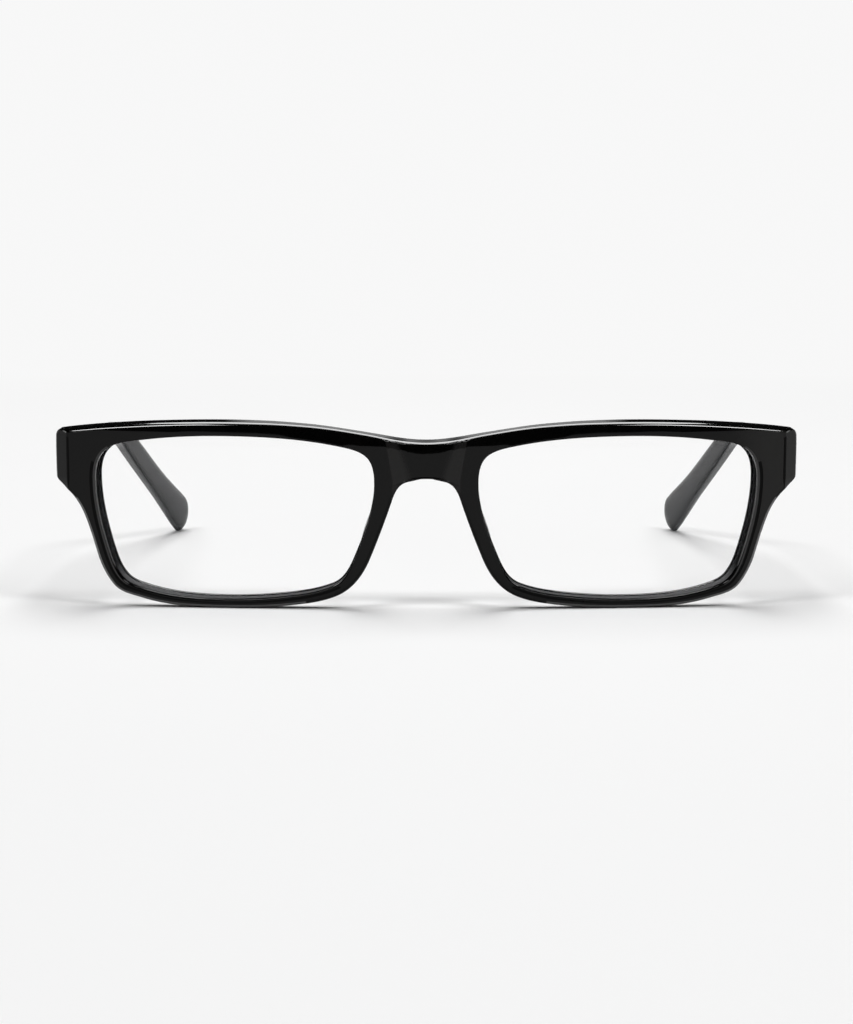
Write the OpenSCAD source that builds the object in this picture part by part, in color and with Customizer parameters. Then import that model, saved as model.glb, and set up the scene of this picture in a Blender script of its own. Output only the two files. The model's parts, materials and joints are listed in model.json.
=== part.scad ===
// Horn-rimmed eyeglasses, standing open on the rims and the temple tips.
// The front is laid out flat as (across, up, depth) and then bent round the face,
// so every outline below is drawn on the flat sheet that the front is cut from.

/* [Lenses] */
// Width of one lens, edge to edge
lens_w = 52.6; // [48:0.1:57]
// Height of one lens, edge to edge
lens_h = 31.5; // [28:0.1:36]
// Thickness of the lens
lens_thk = 1.8; // [1.4:0.1:2.2]
// How far the middle of the lens stands in front of its edge
lens_dome = 1.1; // [0.4:0.1:2]
// How deep the lens edge sits in the rim
lens_seat = 0.5; // [0.3:0.05:0.8]
// Gap between the lens edge and the bottom of its groove
lens_fit = 0.1; // [0.05:0.01:0.2]

/* [Front] */
// Gap between the two lenses at the nose
bridge_w = 18; // [15:0.5:22]
// Height of the bridge on the centre line
bridge_h = 6.75; // [5:0.05:9]
// Thickness of the front
front_thk = 4; // [3.4:0.1:5]
// Radius that the front is bent to
front_r = 360; // [260:5:600]
// Width of the rim above the lens
rim_top = 2.5; // [1.8:0.05:4]
// Width of the rim below the lens
rim_bottom = 1.6; // [1.2:0.05:3]
// Width of the rim beside the temple
rim_side = 2.4; // [1.6:0.05:3]
// Width of the rim beside the nose
rim_nose = 2.65; // [2:0.05:3.2]
// Width of the endpiece, from the lens opening to its side
end_w = 8.05; // [7.6:0.05:10]
// Height of the endpiece
end_h = 9.7; // [9.2:0.1:12]
// Drop of the brow line from its top to the endpiece
end_drop = 2.4; // [1:0.1:3]
// Drop of the brow line from its top to the bridge
bridge_drop = 3.5; // [2.6:0.1:4.5]
// Width of the bevel round the front face
edge_bevel = 0.6; // [0.3:0.05:0.7]
// Width of the bevel down the side of the endpiece
side_bevel = 2.6; // [1.5:0.1:3]
// Width of the scoop in the face of the bridge, at the top
scoop_w = 14.7; // [12:0.1:16]
// Depth of the scoop in the face of the bridge
scoop_d = 0.6; // [0.2:0.1:1]

/* [Nose pads] */
// How far the pads stand out behind the front
pad_d = 4.6; // [3:0.1:6]
// Height of the pads
pad_h = 12.5; // [9:0.5:14]
// Thickness of the glue under the pads
glue = 0.05; // [0.02:0.01:0.1]

/* [Temples] */
// Length of the temple along its curve
temple_len = 138; // [130:1:150]
// Distance from the butt to the bend over the ear
bend_at = 74; // [68:1:82]
// Downward bend over the ear
bend_angle = 24; // [15:1:32]
// Radius of the bend over the ear
bend_r = 30; // [15:1:40]
// Inward bend of the tip
tuck_angle = 11.7; // [5:0.1:18]
// Length over which the tip turns inwards
tuck_len = 14; // [10:1:20]
// Twist of the tip, with its lower edge turned outwards
tip_roll = 5; // [0:1:10]
// Slope of the temple against the front, the pantoscopic angle
panto = 6; // [4:0.5:8]
// Height of the temple at the butt
butt_h = 8.6; // [8:0.1:10]
// Height of the temple at the bend
bend_h = 3.1; // [3:0.1:5]
// Height of the tip at its widest
tip_h = 8.6; // [6:0.1:10]
// Thickness of the temple at the butt
butt_thk = 4; // [3.6:0.1:4.6]
// Thickness of the temple at the bend
bend_thk = 2.4; // [2.2:0.1:3.4]
// Thickness of the temple at the tip
tip_thk = 2.4; // [2.2:0.1:3]
// Gap between the temple butt and the endpiece
butt_gap = 0.15; // [0.1:0.05:0.3]
// Diameter of the wire inside the temple
core_d = 1.2; // [1:0.1:1.3]
// Gap round the wire
core_gap = 0.05; // [0.03:0.01:0.08]

/* [Hinges] */
// Height of one hinge knuckle
knuckle_h = 1.1; // [0.9:0.05:1.2]
// Gap between two knuckles
knuckle_gap = 0.05; // [0.03:0.01:0.1]
// Radius of the hinge knuckles
knuckle_r = 1.3; // [1.2:0.05:1.4]
// Distance from the hinge axis to the back of the front
axis_off = 1.5; // [1.45:0.05:1.8]
// Distance from the hinge axis to the inner face of the temple
axis_side = 1.6; // [1.55:0.05:1.9]
// Thickness of the hinge plates
plate_thk = 1; // [0.8:0.05:1.2]
// Length of the hinge plate in the front
front_plate_l = 6; // [5:0.1:6.4]
// Length of the hinge plate in the temple
temple_plate_l = 10; // [8:0.5:12]
// Diameter of the hinge screw
screw_d = 1.2; // [1:0.05:1.4]
// Radial gap between the screw and the knuckles that turn on it
screw_fit = 0.04; // [0.02:0.01:0.08]
// Diameter of the screw head
head_d = 2.2; // [1.9:0.1:2.4]
// Height of the screw head
head_h = 0.6; // [0.4:0.05:0.8]
// Gap round the parts that are sunk into the plastic
inlay_gap = 0.03; // [0.02:0.01:0.06]

/* [Hidden] */
$fn = 48;

black = [0.05, 0.05, 0.05];
steel = [0.72, 0.73, 0.75];
clear = [0.86, 0.92, 0.94, 0.4];

// Smooth outlines. A node is [across, up, heading], and each stretch between two nodes
// is the curve that leaves and arrives along the headings with an even turn.
function wrap(a) = a - 360 * round(a / 360);
function reach(a, b) =
    (2 + sqrt(2) * (sin(a) - sin(b) / 16) * (sin(b) - sin(a) / 16) * (cos(a) - cos(b)))
    / (3 + 1.5 * (sqrt(5) - 1) * cos(a) + 1.5 * (3 - sqrt(5)) * cos(b));
function stretch(p, q, n) =
    let (d = [q.x - p.x, q.y - p.y], c = norm(d), g = atan2(d.y, d.x))
    let (a = wrap(p.z - g), b = wrap(g - q.z))
    let (p0 = [p.x, p.y], p3 = [q.x, q.y])
    let (p1 = p0 + c * reach(a, b) * [cos(p.z), sin(p.z)])
    let (p2 = p3 - c * reach(b, a) * [cos(q.z), sin(q.z)])
    [for (i = [0:n - 1]) let (t = i / n, s = 1 - t)
        s^3 * p0 + 3 * t * s^2 * p1 + 3 * t^2 * s * p2 + t^3 * p3];
function clamp(t) = min(1, max(0, t));
function ease(t) = let (c = clamp(t)) c * c * (3 - 2 * c);
function mix(a, b, t) = a + (b - a) * t;
function unit(v) = v / norm(v);

// Bars through a row of rings. Every face is a triangle, wound clockwise from outside.
function wall_faces(start, rings, sides, inward) =
    [for (i = [0:rings - 2], k = [0:sides - 1])
        let (a = start + i * sides + k, b = start + i * sides + (k + 1) % sides)
        let (c = b + sides, d = a + sides)
        each inward ? [[a, b, c], [a, c, d]] : [[a, c, b], [a, d, c]]];
function bar_faces(rings, sides) = concat(
    [for (i = [1:sides - 2]) [0, i, i + 1]],
    [for (i = [1:sides - 2]) let (o = (rings - 1) * sides) [o, o + i + 1, o + i]],
    wall_faces(0, rings, sides, false)
);

// The lens opening, as shares of its half width and half height, walked upwards
// beside the nose, outwards along the brow and back along the bottom.
lens_form = [
    [-1, 0.43, 90], [-0.924, 0.79, 34], [-0.75, 0.889, 11.5], [0.06, 1, 0],
    [0.66, 0.933, -8], [0.952, 0.748, -53], [1, 0.41, -91], [0.912, -0.41, -106.5],
    [0.815, -0.76, -131], [0.652, -0.896, -164], [0.08, -1, -180], [-0.352, -0.956, -186.6],
    [-0.7, -0.825, -203], [-0.873, -0.421, -247.5]
];
open_w = lens_w / 2 - lens_seat;
open_h = lens_h / 2 - lens_seat;
lens_x = bridge_w / 2 + lens_w / 2;
lens_y = rim_bottom + open_h;
lens_mid = [lens_x, lens_y];
open_nodes = [for (n = lens_form) [lens_x + n.x * open_w, lens_y + n.y * open_h, n.z]];

// The outline of one half of the front, from the top of the bridge outwards along the
// brow, round the endpiece, along the bottom and up beside the nose to the arch.
// Each entry is [across, up, heading, points in the stretch that follows].
brow_y = lens_y + open_h + rim_top;
bridge_top = brow_y - bridge_drop;
side_x = lens_x + open_w + end_w;
end_top = brow_y - end_drop;
end_low = end_top - end_h;
end_corner = 1.6;
arch_h = bridge_top - bridge_h;
arch_side = [lens_x - open_w - rim_nose - 0.6, arch_h - 4];
rim_corner = (rim_side + rim_bottom) / 2 + 0.25;
function rim_node(i, width, n) =
    let (p = open_nodes[i]) [p.x - width * sin(p.z), p.y + width * cos(p.z), p.z, n];
outline_nodes = [
    [0, bridge_top, 0, 5],
    [lens_x - open_w + 1.4, brow_y - 2.25, 7.5, 4],
    [lens_x - 0.52 * open_w, brow_y - 0.7, 5.3, 4],
    [lens_x + 0.05 * open_w, brow_y, 0, 4],
    [lens_x + 0.72 * open_w, brow_y - 0.7, -4.5, 6],
    [side_x - 1, end_top, -9, 4],
    [side_x, end_top - end_corner, -88, 4],
    [side_x, end_low + end_corner, -91, 3],
    [side_x - 1.3, end_low - 0.1, -149, 4],
    [lens_x + open_w + rim_side, lens_y + 0.3, -113, 4],
    rim_node(7, rim_side, 3),
    rim_node(8, rim_corner, 4),
    rim_node(9, rim_bottom + 0.2, 4),
    rim_node(10, rim_bottom, 4),
    rim_node(11, rim_bottom + 0.15, 4),
    rim_node(12, rim_bottom + 0.35, 5),
    rim_node(13, rim_nose, 4),
    [arch_side.x, arch_side.y, -251.6, 4],
    [arch_side.x - 2, arch_h - 0.9, -211, 3],
    [0, arch_h, -180, 1]
];
outline_last = len(outline_nodes) - 1;
outline = concat(
    [for (i = [0:outline_last - 1])
        each stretch(outline_nodes[i], outline_nodes[i + 1], outline_nodes[i][3])],
    [[0, arch_h]]
);
outline_n = len(outline);

// A few points up the centre line close the half outline through the bridge
BRIDGE_STEPS = 4;
outer_loop = concat(
    outline,
    [for (i = [1:BRIDGE_STEPS - 1]) [0, mix(arch_h, bridge_top, i / BRIDGE_STEPS)]]
);
station_n = len(outer_loop);
function is_bridge(i) = i % station_n >= outline_n;
function on_centre(i) = i == 0 || (i + 1) % station_n == 0 || i >= outline_n - 1;

// The opening point that faces each outline point, on a line from the lens middle
opening_fine = [for (i = [0:len(open_nodes) - 1])
    each stretch(open_nodes[i], open_nodes[(i + 1) % len(open_nodes)], 12)];
function bearing(p) = atan2(p.y - lens_y, lens_x - p.x);
function turned(p) = (bearing(p) - bearing(opening_fine[0]) + 720) % 360;
opening_by_turn = concat(
    [for (p = opening_fine) [turned(p), norm(p - lens_mid)]],
    [[360, norm(opening_fine[0] - lens_mid)]]
);
inner_loop = [for (p = outer_loop)
    lens_mid + unit(p - lens_mid) * lookup(turned(p), opening_by_turn)];

// Outward normals of both loops, square to the chord through the two neighbours
function loop_normal(loop, i) =
    let (n = len(loop), c = loop[(i + 1) % n] - loop[(i + n - 1) % n]) unit([-c.y, c.x]);
function outline_normal(i) =
    i == 0 ? [0, 1] : i == outline_n - 1 ? [0, -1] : loop_normal(outer_loop, i);
inner_normals = [for (i = [0:station_n - 1]) loop_normal(inner_loop, i)];

// Bends a point of the flat front, given as [across, up, depth], round the face
function bent(p) =
    let (a = p.x / front_r * 180 / PI)
    [(front_r - p.z) * sin(a), front_r - (front_r - p.z) * cos(a), p.y];

// The scoop narrows downwards. It slopes in from both sides to a floor of even depth.
scoop_taper = 0.84;
scoop_floor = [0.41, 0.72];
function scoop_side(y) =
    scoop_w / 2 * mix(scoop_taper, 1, clamp((y - arch_h) / bridge_h));
function scoop_foot(y) =
    scoop_w / 2 * mix(scoop_floor[0], scoop_floor[1], clamp((y - arch_h) / bridge_h));
function scoop(x, y) =
    scoop_d * clamp((scoop_side(y) - abs(x)) / (scoop_side(y) - scoop_foot(y)));

// One section through the rim, of sixteen points: the face from the opening to the
// outer edge, the outer edge to the back, and the back to the groove for the lens.
groove_d = lens_seat + lens_fit;
groove_y = front_thk * 0.475;
groove_half = lens_thk / 2 - 0.1;
inner_round = 0.4;
rear_round = 0.5;
BEVEL_SLOPE = 0.95;
BEVEL_CROWN = 0.12;
RIM_K = 16;
EDGE_FIRST = 5;
EDGE_LAST = 10;
side_face = side_x - side_bevel;
function at(p, depth) = [p.x, p.y, depth];
function edge_points(q, n) =
    let (inset = q - edge_bevel * n, face = [min(inset.x, side_face), inset.y])
    let (wide = norm(q - face), deep = BEVEL_SLOPE * wide)
    [
        at(face, 0), at(mix(face, q, 0.5) + BEVEL_CROWN * wide * n, 0.38 * deep),
        at(q, deep), at(q, front_thk - rear_round),
        at(q - 0.3 * rear_round * n, front_thk - 0.3 * rear_round),
        at(q - rear_round * n, front_thk)
    ];
function seam_points(q) = [for (i = [0:5]) at(q, front_thk * i / 5)];
function face_cuts(lip, face) =
    let (over_bridge = face.x < scoop_foot(face.y) && lip.y > lens_y)
    let (marks = [scoop_side(face.y), scoop_foot(face.y)])
    [for (i = [0, 1])
        mix(lip, face, over_bridge ? (lip.x - marks[i]) / (lip.x - face.x) : (i + 1) / 3)];
function section(i) =
    let (p = inner_loop[i], m = inner_normals[i], q = outer_loop[i])
    let (edge = is_bridge(i) ? seam_points(q) : edge_points(q, outline_normal(i)))
    let (lip = p + inner_round * m, cuts = face_cuts(lip, [edge[0].x, edge[0].y]))
    concat(
        [at(p, inner_round), at(p + 0.3 * inner_round * m, 0.3 * inner_round)],
        [at(lip, 0), at(cuts[0], 0), at(cuts[1], 0)],
        edge,
        [at(lip, front_thk), at(p, front_thk - inner_round)],
        [at(p, groove_y + groove_half), at(p + groove_d * m, groove_y)],
        [at(p, groove_y - groove_half)]
    );
function scooped(v) = [v.x, v.y, v.z + (v.z < front_thk / 2 ? scoop(v.x, v.y) : 0)];
front_sections = [for (i = [0:station_n - 1]) [for (v = section(i)) bent(scooped(v))]];

// Points on the centre line are shared by both halves
function rim_index(side, i, k) =
    (side == 1 && on_centre(i) && k >= EDGE_FIRST && k <= EDGE_LAST ? 0 : side)
    * station_n * RIM_K + i * RIM_K + k;
function rim_quad(side, i, k) =
    let (j = (i + 1) % station_n, l = (k + 1) % RIM_K)
    let (a = rim_index(side, i, k), b = rim_index(side, j, k))
    let (c = rim_index(side, j, l), d = rim_index(side, i, l))
    side == 0 ? [[a, c, b], [a, d, c]] : [[a, b, c], [a, c, d]];
function is_seam(i, k) =
    on_centre(i) && on_centre((i + 1) % station_n) && k >= EDGE_FIRST && k < EDGE_LAST;

module front_blank() {
    half = [for (s = front_sections) each s];
    polyhedron(
        points = concat(half, [for (p = half) [-p.x, p.y, p.z]]),
        faces = [for (side = [0, 1], i = [0:station_n - 1], k = [0:RIM_K - 1])
            if (!is_seam(i, k)) each rim_quad(side, i, k)],
        convexity = 8
    );
}

// A lens with its bevelled edge in the groove
LENS_SHARES = [0.4, 0.72, 1];
lens_shoulder = 0.35;
function lens_ring(share, inset, depth) =
    let (dome = lens_dome * (1 - share * share))
    [for (i = [0:station_n - 1])
        let (edge = inner_loop[i] - inset * inner_normals[i])
        bent(at(lens_mid + share * (edge - lens_mid), depth - dome))];
module lens_blank() {
    face = groove_y - lens_thk / 2;
    back = groove_y + lens_thk / 2;
    rings = concat(
        [for (s = LENS_SHARES) lens_ring(s, lens_shoulder, face)],
        [lens_ring(1, -lens_seat, groove_y)],
        [for (i = [len(LENS_SHARES) - 1:-1:0]) lens_ring(LENS_SHARES[i], lens_shoulder, back)]
    );
    n = station_n;
    last = len(rings) * n;
    polyhedron(
        points = concat([for (r = rings) each r],
            [for (depth = [face, back]) bent(at(lens_mid, depth - lens_dome))]),
        faces = concat(
            [for (i = [0:n - 1]) [last, (i + 1) % n, i]],
            [for (i = [0:n - 1]) [last + 1, last - n + i, last - n + (i + 1) % n]],
            wall_faces(0, len(rings), n, true)
        ),
        convexity = 4
    );
}

// A nose pad, glued behind the rim from the arch downwards. Each ring is a rounded
// wedge that leans away from the nose as it stands back.
PAD_RINGS = 9;
PAD_K = 12;
PAD_LEAN = 0.28;
pad_w = rim_nose - 0.15;
pad_top = [arch_side.x + 1.6, arch_side.y - 0.6];
pad_foot = pad_top + pad_h * unit([rim_nose + 1.2, -12]);
function pad_ring(i) =
    let (t = i / (PAD_RINGS - 1), c = mix(pad_top, pad_foot, t))
    let (swell = max(0.16, sqrt(1 - (2 * t - 1)^2)), half = pad_w / 2 * mix(0.55, 1, swell))
    [for (k = [0:PAD_K - 1])
        let (a = 180 * k / (PAD_K - 1), x = half * cos(a))
        let (rise = k % (PAD_K - 1) == 0 ? 0 : pad_d * swell * sin(a)^0.8)
        bent([c.x + x + PAD_LEAN * rise, c.y + 0.3 * x, front_thk + glue + rise])];
module pad_blank() {
    polyhedron(
        points = [for (i = [0:PAD_RINGS - 1]) each pad_ring(i)],
        faces = bar_faces(PAD_RINGS, PAD_K),
        convexity = 4
    );
}

// The hinge frame. Its origin is the middle of the hinge axis, x runs outwards along
// the endpiece, y runs straight back from it and z runs up the front.
temple_out = (front_r - front_thk) * sin(side_x / front_r * 180 / PI);
axis_x = temple_out - butt_thk - axis_side;
axis_r = front_r - front_thk - axis_off;
hinge_turn = asin(axis_x / axis_r);
axis_y = front_r - axis_r * cos(hinge_turn);
hinge_z = (end_top + end_low) / 2 + 0.4;
hinge_mid = [axis_x, axis_y, hinge_z];
module at_endpiece() {
    translate(hinge_mid)
        rotate([0, 0, hinge_turn])
            children();
}

// The temple follows a path that starts on the cut that meets the endpiece, runs down
// at the pantoscopic angle, bends over the ear and turns inwards.
butt_point = [temple_out - butt_thk / 2, axis_y, hinge_z];
butt_normal = [-sin(hinge_turn), cos(hinge_turn), 0];
taper_len = bend_at * 0.55;
bend_len = bend_r * bend_angle * PI / 180;
tip_from = bend_at + bend_len;
tip_full = temple_len - 8;
tip_round = tip_h * 0.5;
function slope(a) = panto + bend_angle * clamp((a - bend_at) / bend_len);
function tuck(a) = tuck_angle * ease((a - bend_at + 3) / tuck_len);
function roll(a) = tip_roll * ease((a - bend_at) / (temple_len - bend_at));
function heading(a) =
    [-sin(tuck(a)) * cos(slope(a)), cos(tuck(a)) * cos(slope(a)), -sin(slope(a))];
function side_axis(a) =
    let (out = [cos(tuck(a)), sin(tuck(a)), 0], up = cross(out, heading(a)))
    out * cos(roll(a)) + up * sin(roll(a));
stops = concat(
    [for (i = [0:7]) mix(0, bend_at - 4, i / 7)],
    [for (i = [0:6]) mix(bend_at, tip_from, i / 6)],
    [for (i = [1:4]) mix(tip_from, temple_len - tip_round, i / 4)],
    [for (i = [1:5]) temple_len - tip_round * (1 - sin(18 * i))]
);
stop_n = len(stops);
WALK = 8;
function leg(a, b) =
    let (h = (b - a) / WALK, ones = [for (i = [1:WALK]) 1])
    h * ones * [for (i = [0:WALK - 1]) heading(a + h * (i + 0.5))];
path = [for (i = 0, p = butt_point; i < stop_n;
    p = i + 1 < stop_n ? p + leg(stops[i], stops[i + 1]) : p, i = i + 1) p];

// Height, thickness and squareness of the temple at a distance along it
function end_round(a) =
    let (k = clamp((a - temple_len + tip_round) / tip_round)) sqrt(max(0.02, 1 - k * k));
function temple_h(a) =
    (a < bend_at
        ? mix(butt_h, bend_h, ease(a / taper_len))
        : mix(bend_h, tip_h, clamp((a - bend_at) / (tip_full - bend_at))))
    * end_round(a);
function temple_thk(a) =
    (a < bend_at
        ? mix(butt_thk, bend_thk, clamp(a / (bend_at - 8)))
        : mix(bend_thk, tip_thk, (a - bend_at) / (temple_len - bend_at)))
    * mix(0.4, 1, end_round(a));
BUTT_SQUARE = 0.32;
TIP_SQUARE = 0.86;
function squareness(a) = mix(BUTT_SQUARE, TIP_SQUARE, ease(a / bend_at));

// A ring of the temple, from a circle to nearly a rectangle as the power falls
TEMPLE_K = 16;
function power(c, e) = sign(c) * abs(c)^e;
function ring_at(c, a, w, h, e, sides) =
    let (out = side_axis(a), up = cross(out, heading(a)))
    [for (k = [0:sides - 1]) let (t = 360 * (k + 0.5) / sides)
        c + w * power(cos(t), e) * out + h * power(sin(t), e) * up];
// Slides a point along the temple onto the cut, or a distance behind it
function on_butt(p, back) =
    let (o = hinge_mid - (axis_off - butt_gap - back) * butt_normal, d = heading(0))
    p + d * ((o - p) * butt_normal) / (d * butt_normal);
function temple_ring(i) =
    let (a = stops[i])
    let (r = ring_at(path[i], a, temple_thk(a) / 2, temple_h(a) / 2, squareness(a), TEMPLE_K))
    i == 0 ? [for (p = r) on_butt(p, 0)] : r;

// The wire runs a little outside the middle at the butt, to clear the hinge plate
CORE_K = 8;
core_last = stop_n - 4;
core_side = 0.35;
core_back = 0.3;
function core_ring(i, r, back) =
    let (a = stops[i], c = path[i] + core_side * (1 - ease(a / bend_at)) * side_axis(a))
    let (ring = ring_at(c, a, r, r, 1, CORE_K))
    i == 0 ? [for (p = ring) on_butt(p, back)] : ring;
module wire_blank() {
    polyhedron(
        points = [for (i = [0:core_last - 1]) each core_ring(i, core_d / 2, core_back)],
        faces = bar_faces(core_last, CORE_K),
        convexity = 4
    );
}

// The temple with the blind bore for its wire, which is open at the butt
module temple_blank() {
    skin = [for (i = [0:stop_n - 1]) each temple_ring(i)];
    bore = [for (i = [0:core_last]) each core_ring(i, core_d / 2 + core_gap, 0)];
    first = len(skin);
    tip = first - TEMPLE_K;
    floor_at = first + core_last * CORE_K;
    polyhedron(
        points = concat(skin, bore),
        faces = concat(
            [for (j = [0:CORE_K - 1])
                let (o = 2 * j, b = first + j, c = first + (j + 1) % CORE_K)
                each [[o, o + 1, b], [o + 1, c, b], [o + 1, (o + 2) % TEMPLE_K, c]]],
            [for (i = [1:TEMPLE_K - 2]) [tip, tip + i + 1, tip + i]],
            [for (i = [1:CORE_K - 2]) [floor_at, floor_at + i, floor_at + i + 1]],
            wall_faces(0, stop_n, TEMPLE_K, false),
            wall_faces(first, core_last + 1, CORE_K, true)
        ),
        convexity = 8
    );
}

// Hinges with five knuckles: three on the front and two on the temple
KNUCKLES = 5;
hinge_h = KNUCKLES * knuckle_h + (KNUCKLES - 1) * knuckle_gap;
plate_h = hinge_h + 0.1;
plate_inset = 1.5;
plate_lead = 0.5;
web_w = 1;
web_lead = plate_lead / 2;
function knuckle_z(k) = -hinge_h / 2 + k * (knuckle_h + knuckle_gap);
module knuckle(k) {
    translate([0, 0, knuckle_z(k)])
        cylinder(r = knuckle_r, h = knuckle_h);
}
module screw_bore() {
    translate([0, 0, -hinge_h])
        cylinder(d = screw_d + 2 * screw_fit, h = 2 * hinge_h);
}
module front_plate(gap) {
    translate([-plate_inset - gap, -axis_off - plate_thk - gap, -plate_h / 2 - gap])
        cube([front_plate_l + 2 * gap, plate_thk + 2 * gap, plate_h + 2 * gap]);
}
module front_hinge_blank() {
    at_endpiece()
        difference() {
            union() {
                front_plate(0);
                for (k = [0:2:KNUCKLES - 1]) {
                    knuckle(k);
                    translate([-knuckle_r, -axis_off - plate_thk / 2, knuckle_z(k)])
                        cube([knuckle_r + web_w, axis_off + plate_thk / 2, knuckle_h]);
                }
            }
            screw_bore();
        }
}
module temple_plate(gap) {
    rotate([-panto, 0, 0])
        translate([axis_side - gap, -plate_lead - gap, -plate_h / 2 - gap])
            cube([plate_thk + 2 * gap, temple_plate_l + 2 * gap, plate_h + 2 * gap]);
}
module temple_hinge_blank() {
    translate(hinge_mid)
        difference() {
            union() {
                temple_plate(0);
                for (k = [1:2:KNUCKLES - 1]) {
                    knuckle(k);
                    translate([0, -web_lead, knuckle_z(k)])
                        cube([axis_side + plate_thk / 2, knuckle_r + web_lead, knuckle_h]);
                }
            }
            screw_bore();
        }
}
slot_w = 0.35;
head_seat = 0.02;
module screw_blank() {
    at_endpiece()
        difference() {
            union() {
                translate([0, 0, -hinge_h / 2])
                    cylinder(d = screw_d, h = hinge_h + head_seat + head_h / 2);
                translate([0, 0, hinge_h / 2 + head_seat])
                    cylinder(d = head_d, h = head_h);
            }
            translate([-head_d, -slot_w / 2, hinge_h / 2 + head_seat + head_h / 2])
                cube([2 * head_d, slot_w, head_h]);
        }
}

// The lean at which the rims and the temple tips both touch the table
rim_feet = [for (s = front_sections) each [for (p = s) if (p.z < rim_bottom) p]];
tip_feet = [for (i = [stop_n - 10:stop_n - 1]) each temple_ring(i)];
lean = min([for (q = rim_feet) max([for (p = tip_feet) atan2(q.z - p.z, p.y - q.y)])]);
function leaning_y(p) = p.y * cos(lean) - p.z * sin(lean);
function leaning_z(p) = p.y * sin(lean) + p.z * cos(lean);
front_near = min([for (s = front_sections) min([for (p = s) leaning_y(p)])]);
tip_far = max([for (p = tip_feet) leaning_y(p)]);
stand_y = -(front_near + tip_far) / 2;
stand_z = -min([for (p = rim_feet) leaning_z(p)]);
module on_left() {
    translate([0, stand_y, stand_z])
        rotate([lean, 0, 0])
            children();
}
module on_right() {
    on_left()
        mirror([1, 0, 0])
            children();
}

module front() {
    color(black)
        on_left()
            difference() {
                front_blank();
                for (side = [0, 1])
                    mirror([side, 0, 0])
                        at_endpiece()
                            front_plate(inlay_gap);
            }
}
module temple() {
    difference() {
        temple_blank();
        translate(hinge_mid)
            temple_plate(inlay_gap);
    }
}
module nose_pad_left() {
    color(black)
        on_left()
            pad_blank();
}
module nose_pad_right() {
    color(black)
        on_right()
            pad_blank();
}
module lens_left() {
    color(clear)
        on_left()
            lens_blank();
}
module lens_right() {
    color(clear)
        on_right()
            lens_blank();
}
module front_hinge_left() {
    color(steel)
        on_left()
            front_hinge_blank();
}
module front_hinge_right() {
    color(steel)
        on_right()
            front_hinge_blank();
}
module temple_hinge_left() {
    color(steel)
        on_left()
            temple_hinge_blank();
}
module temple_hinge_right() {
    color(steel)
        on_right()
            temple_hinge_blank();
}
module hinge_screw_left() {
    color(steel)
        on_left()
            screw_blank();
}
module hinge_screw_right() {
    color(steel)
        on_right()
            screw_blank();
}
module temple_left() {
    color(black)
        on_left()
            temple();
}
module temple_right() {
    color(black)
        on_right()
            temple();
}
module core_wire_left() {
    color(steel)
        on_left()
            wire_blank();
}
module core_wire_right() {
    color(steel)
        on_right()
            wire_blank();
}

front();
nose_pad_left();
nose_pad_right();
lens_left();
lens_right();
front_hinge_left();
front_hinge_right();
temple_hinge_left();
temple_hinge_right();
hinge_screw_left();
hinge_screw_right();
temple_left();
temple_right();
core_wire_left();
core_wire_right();
// The lean and the middle of the left hinge, in the leaning front before it is stood up
echo(lean = lean, stand_y = stand_y, stand_z = stand_z, hinge_mid = hinge_mid);
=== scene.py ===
"""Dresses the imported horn-rimmed eyeglasses: smooth polished acetate, clear lenses and
steel hinges on the fixed frame, in a soft white studio."""

import json
import math

import bpy
import numpy as np
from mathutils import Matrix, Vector

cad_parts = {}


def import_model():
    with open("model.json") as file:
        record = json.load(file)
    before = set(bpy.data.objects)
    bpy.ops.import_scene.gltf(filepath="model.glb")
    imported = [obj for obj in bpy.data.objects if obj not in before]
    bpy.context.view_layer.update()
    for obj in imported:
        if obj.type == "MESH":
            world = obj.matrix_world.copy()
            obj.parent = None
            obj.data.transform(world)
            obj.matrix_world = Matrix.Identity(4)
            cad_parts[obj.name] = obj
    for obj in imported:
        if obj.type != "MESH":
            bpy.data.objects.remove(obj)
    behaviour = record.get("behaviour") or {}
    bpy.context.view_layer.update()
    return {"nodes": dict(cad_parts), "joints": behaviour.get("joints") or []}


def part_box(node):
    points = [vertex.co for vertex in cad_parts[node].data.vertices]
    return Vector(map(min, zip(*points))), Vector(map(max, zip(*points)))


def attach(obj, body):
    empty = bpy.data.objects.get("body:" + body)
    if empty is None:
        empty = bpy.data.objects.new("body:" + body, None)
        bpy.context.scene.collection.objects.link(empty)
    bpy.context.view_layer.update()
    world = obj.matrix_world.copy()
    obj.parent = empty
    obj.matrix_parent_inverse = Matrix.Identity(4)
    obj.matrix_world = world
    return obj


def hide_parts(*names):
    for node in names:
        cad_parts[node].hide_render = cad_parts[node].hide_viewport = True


MM = 0.001

# Driving sizes of the frame in millimetres. They are those of its solids, apart from the
# bevels, their slopes and the endpiece's corner, which are truer here.
LENS_W, LENS_H, LENS_THK, LENS_DOME = 52.6, 31.5, 1.8, 1.1
LENS_SEAT, LENS_FIT, LENS_SHOULDER = 0.5, 0.1, 0.05
BRIDGE_W, BRIDGE_H = 18, 6.75
FRONT_THK, FRONT_R = 4, 360
RIM_TOP, RIM_BOTTOM, RIM_SIDE, RIM_NOSE = 2.5, 1.6, 2.4, 2.65
END_W, END_H, END_DROP, END_CORNER = 8.05, 9.7, 2.4, 1.3
BRIDGE_DROP = 3.5
EDGE_BEVEL, SIDE_BEVEL, BEVEL_SLOPE, SIDE_SLOPE = 0.48, 2.9, 0.95, 0.78
SCOOP_W, SCOOP_D, SCOOP_TAPER, SCOOP_FLOOR = 14.7, 0.6, 0.84, (0.41, 0.72)
PAD_D, PAD_H, PAD_LEAN, GLUE = 4.6, 12.5, 0.28, 0.05
TEMPLE_LEN, BEND_AT, BEND_ANGLE, BEND_R = 138, 74, 24, 30
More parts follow.
